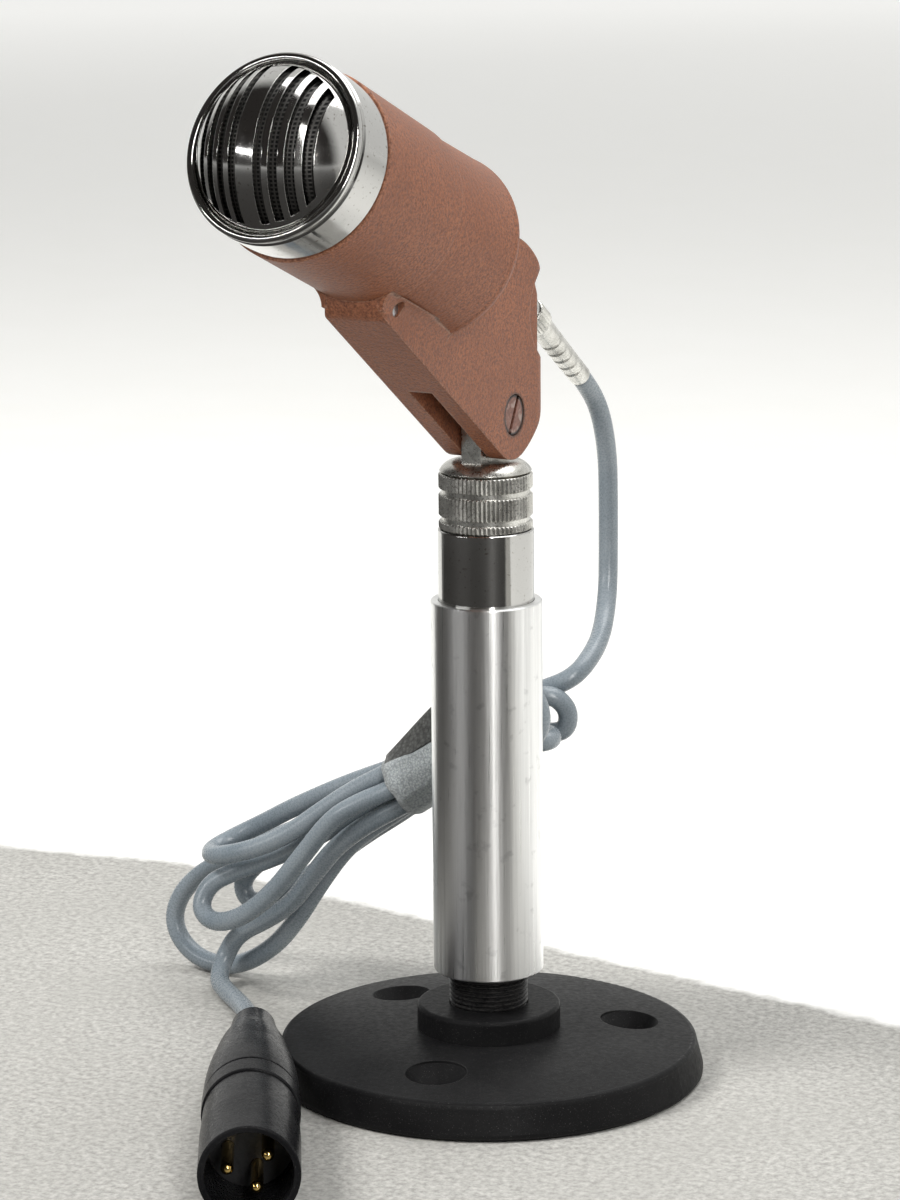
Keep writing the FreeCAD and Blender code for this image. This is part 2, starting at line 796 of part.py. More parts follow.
def hank_section(k, grow):
    """Eight-sided section across the hank, grown outward by a margin."""
    down, across, back, height, depth = HANK[k]
    stretch = 1 / math.cos(math.pi / 8)
    corners = []
    for i in range(8):
        a = math.pi / 8 + math.pi / 4 * i
        h = (height + grow) * math.sin(a) * stretch
        d = (depth + grow) * math.cos(a) * stretch
        corners.append(on_hank(down, across + h, back + d))
    return Part.makePolygon(corners + corners[:1])


def cable_hank():
    return Part.makeLoft([hank_section(k, 0) for k in range(len(HANK))], True, True)


def cable_strap():
    sleeve = Part.makeLoft([hank_section(k, STRAP_THICK) for k in STRAP_SECTIONS], True, True)
    return sleeve.cut(cable_hank())


# ---- plug ----
def plug_shell():
    return on_plug(
        turned(
            (8.2, 0.4),
            ((8.32, 0.12), (8.6, 0)),
            (9.1, 0),
            ((9.38, 0.12), (PLUG_R, 0.4)),
            (PLUG_R, 18.0),
            (9.15, 30.6),
            (9.0, SHELL_BACK_S),
            (8.2, SHELL_BACK_S),
        )
    )


def plug_insert():
    body = rod(8.15, 16.0, 24.0)
    key = Part.makeBox(1.6, 2.4, 7.0, V(-8.4, -1.2, 9.0))
    key.rotate(V(0, 0, 0), V(0, 0, 1), PIN_ROLL_DEG)
    body = body.fuse(key.common(rod(8.15, 8.0, 17.0)))
    for x, y in PIN_PLACES:
        body = body.cut(rod(1.25, 15, 25).translate(V(x, y, 0)))
    return on_plug(body)


PIN_CIRCLE_R = 4.1
PIN_ROLL_DEG = -18
PIN_PLACES = [
    (PIN_CIRCLE_R * math.cos(math.radians(a)), PIN_CIRCLE_R * math.sin(math.radians(a)))
    for a in (PIN_ROLL_DEG, PIN_ROLL_DEG + 105, PIN_ROLL_DEG - 105)
]


def plug_pins():
    pins = []
    for x, y in PIN_PLACES:
        pin = turned((0, 3.6), ((0.85, 3.95), (1.2, 4.8)), (1.2, 26.0), (0, 26.0))
        pins.append(on_plug(pin.translate(V(x, y, 0))))
    return Part.makeCompound(pins)


def plug_chuck():
    back = CHUCK_BACK_S
    return on_plug(turned((0, 27.0), (7.4, 27.0), (7.4, 31.0), (4.6, 33.0), (4.0, back), (0, back)))


def plug_boot():
    """Rubber boot: thick lip over the shell's end, one deep groove, a step, then a long taper."""
    groove = BOOT_FRONT_S + 6.6
    step = BOOT_FRONT_S + 26.0
    return on_plug(
        turned(
            (0, CHUCK_BACK_S + 0.5),
            (7.6, CHUCK_BACK_S + 0.5),
            (7.6, BOOT_FRONT_S),
            (9.1, BOOT_FRONT_S),
            ((9.38, BOOT_FRONT_S + 0.12), (PLUG_R, BOOT_FRONT_S + 0.4)),
            (PLUG_R, groove - 0.7),
            (8.75, groove - 0.3),
            (8.75, groove + 0.3),
            (9.35, groove + 0.8),
            ((9.1, groove + 10.0), (8.25, step - 0.3)),
            (8.0, step),
            ((7.2, step + 8.0), (5.6, 74.0)),
            ((4.9, 79.0), (4.5, 82.6)),
            ((4.2, 83.6), (3.4, PLUG_LENGTH)),
            (0, PLUG_LENGTH),
        )
    )


# ---- build ----
STAND = (base_flange, hub_collar, threaded_stud, stand_tube, lower_bushing, chrome_sleeve, top_nipple)
SWIVEL = (knurled_ring, swivel_stem, stem_clip, thrust_washer)
CASING = (mic_barrel, rear_shell, head_bezel, grille, grille_screen, swivel_housing, cross_pin)
PIVOT_PARTS = (pivot_bolt, pivot_nut, friction_washers)
CAPSULE = (capsule_ring, capsule_cup, capsule_gasket, diaphragm, voice_coil, top_plate, magnet, pole_piece)
ELECTRICS = (terminal_board, transformer_core, transformer_coil)
CONNECTOR = (connector_socket, connector_insert, connector_nut, connector_barrel)
CABLE_BITS = (cable_hank, cable_strap)
PLUG = (plug_shell, plug_insert, plug_pins, plug_chuck, plug_boot)

for group in (STAND, SWIVEL, CASING, PIVOT_PARTS, CAPSULE, ELECTRICS, CONNECTOR, CABLE_BITS, PLUG):
    for make in group:
        save(make.__name__, make())
for name, route in (("cable_drop", DROP), ("cable_lead", LEAD), ("cable_tail", TAIL)):
    save(name, route_tube(route, CABLE_R, name))
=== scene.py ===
"""A desktop microphone on a short stand: finishes, cable and strap around its CAD frame.

Lengths are in millimetres, and MM turns them into metres.
"""

import math

import bpy
from mathutils import Matrix, Vector


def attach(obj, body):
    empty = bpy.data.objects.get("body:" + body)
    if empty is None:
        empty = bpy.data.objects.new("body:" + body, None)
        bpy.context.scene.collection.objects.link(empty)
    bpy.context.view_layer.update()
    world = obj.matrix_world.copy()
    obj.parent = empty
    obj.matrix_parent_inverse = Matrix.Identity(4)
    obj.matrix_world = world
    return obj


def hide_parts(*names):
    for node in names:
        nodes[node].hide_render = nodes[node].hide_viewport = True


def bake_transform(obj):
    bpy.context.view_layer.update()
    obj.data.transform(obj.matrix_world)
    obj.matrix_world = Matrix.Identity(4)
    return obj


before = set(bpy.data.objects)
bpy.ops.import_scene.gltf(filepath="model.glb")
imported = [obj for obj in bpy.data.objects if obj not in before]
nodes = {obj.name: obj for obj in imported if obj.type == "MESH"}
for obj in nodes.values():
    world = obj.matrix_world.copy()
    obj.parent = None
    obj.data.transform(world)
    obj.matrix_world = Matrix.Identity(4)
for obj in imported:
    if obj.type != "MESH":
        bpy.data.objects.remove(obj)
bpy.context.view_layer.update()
scene = bpy.context.scene
MM = 0.001
PIVOT_Z = 135.2
BOLT_HEAD_R = 4.0

# ---------------------------------------------------------------- cable route, in millimetres
# The same points as the CAD source: from the connector down behind the stand, through the
# hank behind the tube, and along the table to the plug.
EXIT = (0.0, 41.649, 136.512)
JOIN = (0.0, 54.9, 102.5)
CABLE_R = 2.05
# Where the cable has handed over from the swivel to the stand, just before the hank.
RING_STEP = 0.7
RING_SIDES = 24
DROP = [EXIT, (0, 46.4, 133.1), (0, 51.4, 127.2), (0, 54.4, 118.6), (0, 54.9, 110), JOIN]
LEAD = [JOIN, (0, 54.9, 96), (0.6, 53.4, 88.6), (2.6, 47.0, 82.2), (4.6, 39.0, 79.4)]
# The hank's own frame: down its slope, across it, and back from its middle.
HANK_ANCHOR = (2.75, 21.5, 73.0)
HANK_DIP = math.radians(33.58)
HANK = [
    # lead, through the strap, out to the top loop
    (-2.2, 1.3, 9.6), (6, 2.8, 8.2), (14, 3.7, 5.3), (39.5, 3.8, 4.9), (53, 6.4, 4.4), (62, 7.6, 4.2),
    (71, 8.6, 4.8), (81, 9.2, 6.0), (88, 9.8, 5.0), (92, 9.8, -0.2), (88.5, 8.2, -6.0),
    (82, 6.0, -7.2), (75, 4.3, -6.8), (67, 3.6, -5.8), (59, 4.2, -4.6), (50, 4.6, -3.6),
    (39.5, 3.8, -3.2), (14, 3.7, -3.2),
    # first turn behind the tube
    (8, 5.2, -3.8), (3.0, 5.6, -4.8), (-1.4, 1.8, -6.0), (-0.2, -4.0, -7.0), (5.0, -6.6, -7.2),
    (10, -4.6, -7.0), (15, -0.4, -5.6),
    # front loop
    (39.5, 0.2, -5.4), (48, 1.6, -8.0), (55, 1.4, -9.4), (66, -2.2, -9.4), (78, -5.8, -9.2),
    (88, -6.6, -8.6), (96, -4.4, -7.2), (98.5, 0.2, -5.2), (94.5, 3.6, -3.2), (88, 3.0, -2.0),
    (80, 1.6, -1.6), (72, 0.6, -1.4), (63, 0.2, -1.4), (53, 0.1, -1.2), (39.5, 0, -1.1), (14, 0, -1.1),
    # second turn behind the tube
    (9, -1.0, -1.4), (5, -1.0, -1.2), (2.2, 2.6, -0.6), (3.6, 7.0, 0.4), (9, 6.4, 0.9), (14, 3.7, 1.0),
    # small loop between the others
    (39.5, 3.5, 1.0), (50, 2.4, 0.9), (60, 2.5, 4.0), (68, 2.4, 5.8), (77, 2.2, 6.6), (86, 2.8, 6.4),
    (93.5, 1.0, 5.8), (94, -4.2, 5.4), (87, -6.8, 5.6), (78, -5.8, 6.4), (68, -4.8, 7.2),
    (58, -4.2, 7.2), (49, -4.2, 6.2), (39.5, -3.7, 5.2), (14, -3.7, 5.2),
    # third turn, seen beside the tube
    (9, -5.0, 6.2), (4.4, -7.4, 7.3), (1.2, -3.8, 7.4), (1.6, 1.0, 4.9), (7, 1.8, 3.4), (14, 0, 3.2),
    # outer loop, down to the table
    (39.5, 0.1, 3.2), (49, 0.0, 6.0), (57, 0.6, 8.8), (68, 3.4, 10.0), (82, 5.4, 10.6), (93, 6.6, 10.4),
    (103, 7.4, 9.4), (111, 5.8, 8.6), (116, 1.6, 8.0), (116.5, -4.4, 7.5), (113, -10.4, 7.0),
    (105.5, -14.8, 6.5), (94.5, -15.2, 6.0), (84, -12.4, 4.8), (74, -8.6, 3.0), (62, -4.6, 1.8),
    (51, -3.8, 1.2), (39.5, -3.7, 1.0), (14, -3.7, 1.0),
    # last turn behind the tube
    (9.4, -4.3, 2.2), (5.6, -6.2, 3.2), (3.9, -7.6, 0), (5.0, -7.0, -2.9), (9.2, -5.0, -3.6),
    (14, -3.7, -3.2),
    # strand that leaves for the plug
    (39.5, -3.6, -3.2), (50, -3.0, -4.6), (60, -3.6, -4.0), (70, -6.4, -3.0), (79, -9.2, -1.8),
    (88, -9.4, -0.4),
]
TAIL = [
    (-73.6, 22.7, 11.9), (-77.0, 22.8, 6.6), (-76.6, 18.6, 2.1), (-70.4, 12.4, 2.05), (-63.0, 6.4, 2.05),
    (-55.8, -1.6, 2.6), (-50.8, -9.6, 5.8), (-46.0, -16.4, 8.6), (-41.61, -23.55, 9.5),
]


def metres(place):
    return tuple(c * MM for c in place)


def on_hank(down, across, back):
    """A point of the hank's own frame, in the stand's frame."""
    c, s = math.cos(HANK_DIP), math.sin(HANK_DIP)
    x, y, z = HANK_ANCHOR
    return (x - down * c - across * s, y + back, z - down * s + across * c)


def nurbs_points(name, route):
    """The smooth line of a route: a quadratic NURBS spline with the route's points as controls."""
    data = bpy.data.curves.new(name, "CURVE")
    data.dimensions = "3D"
    data.resolution_u = 10
    spline = data.splines.new("NURBS")
    spline.points.add(len(route) - 1)
    for point, place in zip(spline.points, route):
        point.co = (*metres(place), 1.0)
    spline.order_u = 3
    spline.use_endpoint_u = True
    curve = bpy.data.objects.new(name, data)
    scene.collection.objects.link(curve)
    bpy.context.view_layer.update()
    shaped = curve.evaluated_get(bpy.context.evaluated_depsgraph_get())
    line = bpy.data.meshes.new_from_object(shaped)
    points = [v.co.copy() for v in line.vertices]
    bpy.data.objects.remove(curve)
    bpy.data.meshes.remove(line)
    return points


def evenly(points, step):
    """The same line with its points about one step apart, and its length."""
    total = sum((b - a).length for a, b in zip(points, points[1:]))
    count = max(2, round(total / step))
    gap = total / count
    out = [points[0].copy()]
    travelled, target = 0.0, gap
    for a, b in zip(points, points[1:]):
        run = (b - a).length
        while run > 0 and travelled + run >= target - 1e-9 and len(out) < count:
            out.append(a.lerp(b, (target - travelled) / run))
            target += gap
        travelled += run
    out.append(points[-1].copy())
    return out, total


def mesh_object(name, verts, faces):
    mesh = bpy.data.meshes.new(name)
    mesh.from_pydata([tuple(v) for v in verts], [], faces)
    mesh.update()
    mesh.polygons.foreach_set("use_smooth", [True] * len(mesh.polygons))
    obj = bpy.data.objects.new(name, mesh)
    scene.collection.objects.link(obj)
    return obj


def tube_along(name, points, radius, sides, cap):
    """Round tube whose rings stand square to the line, carried along it without twist.

    It is closed at one end only, cap, because the other end meets the next length of cable.
    """
    verts, faces = [], []
    tangent = (points[1] - points[0]).normalized()
    normal = Vector((1, 0, 0)) - tangent * tangent.x
    normal.normalize()
    for i, p in enumerate(points):
        ahead = points[min(i + 1, len(points) - 1)]
        behind = points[max(i - 1, 0)]
        new = (ahead - behind).normalized()
        normal = (tangent.rotation_difference(new) @ normal).normalized()
        tangent = new
        side = tangent.cross(normal)
        for k in range(sides):
            a = 2 * math.pi * k / sides
            verts.append(p + (normal * math.cos(a) + side * math.sin(a)) * radius)
    for i in range(len(points) - 1):
        for k in range(sides):
            n = (k + 1) % sides
            here, there = i * sides, (i + 1) * sides
            faces.append((here + k, here + n, there + n, there + k))
    last = (len(points) - 1) * sides
    if cap == "start":
        faces.append(tuple(reversed(range(sides))))
    else:
        faces.append(tuple(last + k for k in range(sides)))
    return mesh_object(name, verts, faces)


# ---------------------------------------------------------------- material tools
class Paint:
    """A Principled material and short ways to make its procedural inputs."""

    def __init__(
        self, name, metallic=0.0, specular=0.5, coat=0.0, coat_rough=0.1, sheen=0.0, ior=1.5
    ):
        self.mat = bpy.data.materials.new(name)
        self.mat.use_nodes = True
        self.tree = self.mat.node_tree
        self.shader = self.tree.nodes["Principled BSDF"]
        constants = {
            "Metallic": metallic,
            "Specular IOR Level": specular,
            "Coat Weight": coat,
            "Coat Roughness": coat_rough,
            "Sheen Weight": sheen,
            "IOR": ior,
        }
        for slot, value in constants.items():
            self.shader.inputs[slot].default_value = value
        self.where = self.tree.nodes.new("ShaderNodeTexCoord").outputs["Object"]

    def feed(self, socket, value):
        """Link another node's output to a socket, or set the socket to a number or colour."""
        if hasattr(value, "is_linked"):
            self.tree.links.new(value, socket)
        elif socket.type == "RGBA":
            socket.default_value = (*value, 1.0)
        else:
            socket.default_value = value

    def node(self, kind, inputs=(), **values):
        made = self.tree.nodes.new(kind)
        for key, value in values.items():
            setattr(made, key, value)
        for slot, value in inputs:
            self.feed(made.inputs[slot], value)
        return made

    def stretched(self, scale):
        return self.node("ShaderNodeMapping", (("Vector", self.where), ("Scale", scale))).outputs[0]

    def noise(self, per_metre, detail=3.0, rough=0.5, at=None):
        inputs = [("Vector", at or self.where), ("Scale", per_metre)]
        inputs += [("Detail", detail), ("Roughness", rough)]
        return self.node("ShaderNodeTexNoise", inputs).outputs["Fac"]

    def cells(self, per_metre, smooth=0.6):
        inputs = [("Vector", self.where), ("Scale", per_metre), ("Smoothness", smooth)]
        return self.node("ShaderNodeTexVoronoi", inputs, feature="SMOOTH_F1").outputs["Distance"]

    def spread(self, value, low, high, to_low=0.0, to_high=1.0):
        """The value's run from low to high, stretched over to_low to to_high."""
        inputs = [("Value", value), ("From Min", low), ("From Max", high)]
        inputs += [("To Min", to_low), ("To Max", to_high)]
        return self.node("ShaderNodeMapRange", inputs).outputs["Result"]

    def maths(self, kind, a, b=0.0):
        return self.node("ShaderNodeMath", ((0, a), (1, b)), operation=kind).outputs[0]

    def blend(self, share, first, second):
        """From the first colour to the second, as share goes from 0 to 1."""
        made = self.node("ShaderNodeMix", data_type="RGBA")
        for slot, value in ((0, share), (6, first), (7, second)):
            self.feed(made.inputs[slot], value)
        return made.outputs[2]

    def bump(self, height, depth_mm, below=None):
        inputs = [("Height", height), ("Distance", depth_mm * MM), ("Strength", 1.0)]
        if below is not None:
            inputs.append(("Normal", below))
        return self.node("ShaderNodeBump", inputs).outputs["Normal"]

    def soft_edges(self, radius_mm):
        """The surface's direction with its sharp edges rounded."""
        return self.node("ShaderNodeBevel", (("Radius", radius_mm * MM),), samples=6).outputs[0]

    def edges(self, radius_mm):
        """Close to 1 along sharp edges and 0 on flat faces."""
        rounded = self.soft_edges(radius_mm)
        flat = self.tree.nodes.new("ShaderNodeNewGeometry").outputs["True Normal"]
        dot = self.node("ShaderNodeVectorMath", ((0, rounded), (1, flat)), operation="DOT_PRODUCT")
        return self.spread(dot.outputs["Value"], 1.0, 0.86)

    def mottled(self, value, first, second):
        """Patches of two colours that follow a noise."""
        return self.blend(self.spread(value, 0.35, 0.7), first, second)

    def from_pivot(self):
        """How far a point is from the pivot bolt's axis, in metres."""
        place = self.node("ShaderNodeSeparateXYZ", (("Vector", self.where),))
        along = place.outputs["Y"]
        height = self.maths("SUBTRACT", place.outputs["Z"], PIVOT_Z * MM)
        squares = [self.maths("MULTIPLY", d, d) for d in (along, height)]
        return self.maths("SQRT", self.maths("ADD", *squares))

    def done(self, colour, roughness, normal):
        for slot, value in (("Base Color", colour), ("Roughness", roughness), ("Normal", normal)):
            self.feed(self.shader.inputs[slot], value)
        return self.mat


def hammertone():
    """Brown hammer-finish paint, rubbed lighter along edges; painted shade rings the pivot bolt."""
    p = Paint("hammertone_brown", specular=0.4, coat=0.1, coat_rough=0.35)
    patches = p.noise(85, 3)
    grain = p.noise(2100, 4, 0.7)
    pits = p.cells(1150)
    colour = p.blend(p.spread(grain, 0.36, 0.64), (0.115, 0.036, 0.018), (0.390, 0.148, 0.072))
    colour = p.blend(p.spread(patches, 0.35, 0.7, 0.0, 0.45), colour, (0.195, 0.068, 0.033))
    worn = p.maths("MULTIPLY", p.edges(0.5), p.spread(grain, 0.4, 0.6, 0.1, 0.6))
    colour = p.blend(worn, colour, (0.56, 0.36, 0.26))
    # Painted shade: near-black ring on the casing round the bolt head, for a gap's shadow.
    painted_gap_shade = p.spread(p.from_pivot(), BOLT_HEAD_R * MM, (BOLT_HEAD_R + 0.7) * MM, 0.85, 0.0)
    colour = p.blend(painted_gap_shade, colour, (0.012, 0.008, 0.007))
    bumps = p.maths("ADD", p.maths("MULTIPLY", pits, 0.8), p.maths("MULTIPLY", grain, 0.9))
    return p.done(colour, p.spread(grain, 0.3, 0.7, 0.42, 0.66), p.bump(bumps, 0.16, p.soft_edges(0.7)))


def bolt_brown():
    """Bolt head painted over with the casing, rubbed bright on top, its rim darkened as painted shade."""
    p = Paint("painted_bolt", metallic=0.35)
    fine = p.noise(1500, 3)
    rubbed = p.noise(500, 3)
    colour = p.mottled(fine, (0.14, 0.055, 0.038), (0.27, 0.13, 0.095))
    colour = p.blend(p.spread(rubbed, 0.52, 0.62, 0.0, 0.6), colour, (0.42, 0.34, 0.30))
    # Painted shade: the head's outer rim turns near-black, for the shadow of the gap round it.
    rim = p.spread(p.from_pivot(), (BOLT_HEAD_R - 0.7) * MM, (BOLT_HEAD_R - 0.3) * MM)
    colour = p.blend(rim, colour, (0.014, 0.010, 0.009))
    return p.done(colour, p.spread(fine, 0.3, 0.7, 0.28, 0.45), p.bump(fine, 0.03, p.soft_edges(0.2)))


def chrome():
    """Worn chrome: smears in the gloss and small dull specks."""
    p = Paint("chrome", metallic=1.0)
    smear = p.noise(160, 4, 0.6)
    specks = p.noise(1500, 2)
    colour = p.blend(p.spread(specks, 0.64, 0.74), (0.52, 0.515, 0.50), (0.26, 0.24, 0.21))
    smeared = p.spread(smear, 0.35, 0.7, 0.05, 0.16)
    rough = p.maths("ADD", smeared, p.spread(specks, 0.64, 0.74, 0.0, 0.15))
    return p.done(colour, rough, p.bump(smear, 0.012, p.soft_edges(0.15)))


def nickel():
    p = Paint("worn_nickel", metallic=1.0)
    stain = p.noise(260, 4, 0.6)
    fine = p.noise(2600, 2)
    colour = p.mottled(stain, (0.76, 0.75, 0.71), (0.44, 0.43, 0.40))
    return p.done(colour, p.spread(fine, 0.3, 0.7, 0.22, 0.4), p.bump(fine, 0.02, p.soft_edges(0.12)))


def brushed_aluminium():
    """Tube stock with fine lines along its length, whose gloss spreads round the tube."""
    p = Paint("brushed_aluminium", metallic=1.0)
    p.shader.inputs["Anisotropic"].default_value = 0.8
    p.shader.inputs["Anisotropic Rotation"].default_value = 0.25
    around = p.tree.nodes.new("ShaderNodeTangent")
    around.direction_type = "RADIAL"
    around.axis = "Z"
    p.tree.links.new(around.outputs[0], p.shader.inputs["Tangent"])
    lines = p.noise(1.0, 3, 0.7, at=p.stretched((2600, 2600, 26)))
    bands = p.noise(1.0, 2, 0.5, at=p.stretched((420, 420, 7)))
    marks = p.noise(340, 4)
    colour = p.blend(p.spread(bands, 0.3, 0.7), (0.90, 0.90, 0.89), (0.76, 0.76, 0.75))
    colour = p.blend(p.spread(lines, 0.5, 0.75, 0.0, 0.4), colour, (0.56, 0.56, 0.56))
    colour = p.blend(p.spread(marks, 0.62, 0.72, 0.0, 0.35), colour, (0.36, 0.36, 0.36))
    rough = p.spread(lines, 0.3, 0.7, 0.26, 0.42)
    return p.done(colour, rough, p.bump(lines, 0.018, p.soft_edges(0.2)))


def black_satin():
    """Black paint on cast iron, dusty, rubbed grey along edges."""
    p = Paint("black_satin", specular=0.30, ior=1.22)
    cast = p.noise(900, 4, 0.6)
    dust = p.noise(5200, 2, 0.5)
    clouds = p.noise(60, 3)
    colour = p.blend(p.spread(clouds, 0.3, 0.7), (0.006, 0.006, 0.0065), (0.013, 0.013, 0.0135))
    colour = p.blend(p.spread(dust, 0.66, 0.74, 0.0, 0.5), colour, (0.16, 0.155, 0.15))
    colour = p.blend(p.maths("MULTIPLY", p.edges(0.35), 0.25), colour, (0.10, 0.10, 0.10))
    return p.done(colour, p.spread(cast, 0.3, 0.7, 0.34, 0.50), p.bump(cast, 0.05, p.soft_edges(0.3)))


def black_oxide():
    p = Paint("black_oxide_steel", metallic=0.4, specular=0.3)
    fine = p.noise(1800, 3)
    colour = p.mottled(fine, (0.012, 0.012, 0.013), (0.040, 0.038, 0.037))
    return p.done(colour, p.spread(fine, 0.3, 0.7, 0.26, 0.45), p.bump(fine, 0.02, p.soft_edges(0.1)))


def cable_pvc():
    p = Paint("cable_grey", specular=0.65)
    cloud = p.noise(70, 3)
    fine = p.noise(2400, 3, 0.6)
    colour = p.blend(p.spread(cloud, 0.3, 0.7), (0.162, 0.196, 0.224), (0.240, 0.274, 0.302))
    colour = p.blend(p.spread(fine, 0.62, 0.75, 0.0, 0.15), colour, (0.12, 0.13, 0.14))
    return p.done(colour, p.spread(fine, 0.3, 0.7, 0.22, 0.34), p.bump(fine, 0.02))


def strap_cloth(name, light, dark, tuft_mm):
    """One side of hook-and-loop tape: tufts of a given size with fuzz over them."""
    p = Paint(name, specular=0.2, sheen=0.35)
    loops = p.cells(1000 / tuft_mm, smooth=0.3)
    fuzz = p.noise(3800, 4, 0.7)
    colour = p.blend(p.spread(loops, 0.1, 0.7), light, dark)
    fluff = tuple(1.7 * c for c in light)
    colour = p.blend(p.spread(fuzz, 0.45, 0.75, 0.0, 0.5), colour, fluff)
    height = p.maths("ADD", p.maths("MULTIPLY", loops, -1.0), p.maths("MULTIPLY", fuzz, 0.5))
    return p.done(colour, p.spread(fuzz, 0.3, 0.7, 0.75, 0.95), p.bump(height, 0.13))


def plug_black():
    p = Paint("plug_black", specular=0.22, ior=1.22)
    mould = p.noise(1300, 3, 0.6)
    dust = p.noise(4200, 2)
    wear = p.noise(120, 3)
    colour = p.mottled(wear, (0.006, 0.006, 0.007), (0.014, 0.014, 0.015))
    colour = p.blend(p.spread(dust, 0.66, 0.74, 0.0, 0.35), colour, (0.14, 0.135, 0.13))
    colour = p.blend(p.maths("MULTIPLY", p.edges(0.3), 0.35), colour, (0.12, 0.12, 0.12))
    return p.done(colour, p.spread(mould, 0.3, 0.7, 0.20, 0.36), p.bump(mould, 0.03, p.soft_edges(0.25)))


def plain_metal(name, bright, dull, low, high, grain=1500):
    p = Paint(name, metallic=1.0)
    fine = p.noise(grain, 3)
    colour = p.mottled(fine, bright, dull)
    return p.done(colour, p.spread(fine, 0.3, 0.7, low, high), p.bump(fine, 0.02, p.soft_edges(0.1)))


def plain_solid(name, light, dark, low, high):
    p = Paint(name)
    fine = p.noise(1500, 3)
    colour = p.mottled(fine, light, dark)
    return p.done(colour, p.spread(fine, 0.3, 0.7, low, high), p.bump(fine, 0.03))


def woven_screen():
    p = Paint("woven_screen", metallic=0.7)
    threads = [("Vector", p.where), ("Scale", 420.0), ("Distortion", 0.0)]
    warp, weft = (p.node("ShaderNodeTexWave", threads, bands_direction=way) for way in "XZ")
    weave = p.maths("MAXIMUM", warp.outputs["Fac"], weft.outputs["Fac"])
    colour = p.blend(p.spread(weave, 0.4, 0.9), (0.004, 0.004, 0.004), (0.055, 0.053, 0.05))
    return p.done(colour, p.spread(weave, 0.3, 0.9, 0.7, 0.4), p.bump(weave, 0.06))


# The table's far edge is two straight lines, y = start + slope * x, in metres.
RIGHT_EDGE = (0.0715, -0.1775)
LEFT_EDGE = (0.1169, 0.157)
# The room that polished metal mirrors is dark on the side where y + DARK_TURN * x is below zero.
DARK_TURN = 0.26


def table_top():
    """Pale speckled table, and the white surface beyond its far edge."""
    p = Paint("table_pale", specular=0.3)
    specks = p.noise(700, 3, 0.7)
    clouds = p.noise(24, 3)
    place = p.node("ShaderNodeSeparateXYZ", (("Vector", p.where),))
    x, y = place.outputs["X"], place.outputs["Y"]
    past = [p.maths("SUBTRACT", p.maths("SUBTRACT", y, p.maths("MULTIPLY", x, slope)), start)
            for start, slope in (RIGHT_EDGE, LEFT_EDGE)]
    over = p.maths("MAXIMUM", *past)
    wobble = p.maths("MULTIPLY", p.maths("SUBTRACT", p.noise(180, 3), 0.5), 0.005)
    beyond = p.spread(p.maths("ADD", over, wobble), 0.0, 0.004)
    near = p.blend(p.spread(specks, 0.35, 0.68), (0.30, 0.295, 0.28), (0.54, 0.535, 0.51))
    near = p.blend(p.spread(clouds, 0.35, 0.7, 0.0, 0.4), near, (0.36, 0.355, 0.335))
    wall = p.blend(p.spread(clouds, 0.3, 0.7), (0.84, 0.84, 0.82), (0.86, 0.86, 0.845))
    colour = p.blend(beyond, near, wall)
    # Painted reflection: glossy rays see the table before the stand near-black, as a dark room.
    mirrored = p.tree.nodes.new("ShaderNodeLightPath").outputs["Is Glossy Ray"]
    side = p.maths("ADD", y, p.maths("MULTIPLY", x, DARK_TURN))
    reach = p.node("ShaderNodeVectorMath", ((0, p.where),), operation="LENGTH").outputs["Value"]
    front = p.maths("MULTIPLY", p.spread(side, 0.02, -0.02, 0.0, 0.95), p.spread(reach, 0.085, 0.13))
    colour = p.blend(p.maths("MULTIPLY", mirrored, front), colour, (0.010, 0.009, 0.009))
    # The table and the white surface behind are evenly lit however far they run.
    glow = p.maths("MULTIPLY", beyond, p.spread(y, 0.1, 3.5, 0.09, 0.50))
    glow = p.maths("MAXIMUM", glow, p.spread(reach, 0.5, 3.5, 0.0, 0.50))
    p.feed(p.shader.inputs["Emission Color"], (1.0, 1.0, 0.985))
    p.feed(p.shader.inputs["Emission Strength"], glow)
    return p.done(colour, 0.75, p.bump(specks, 0.12))


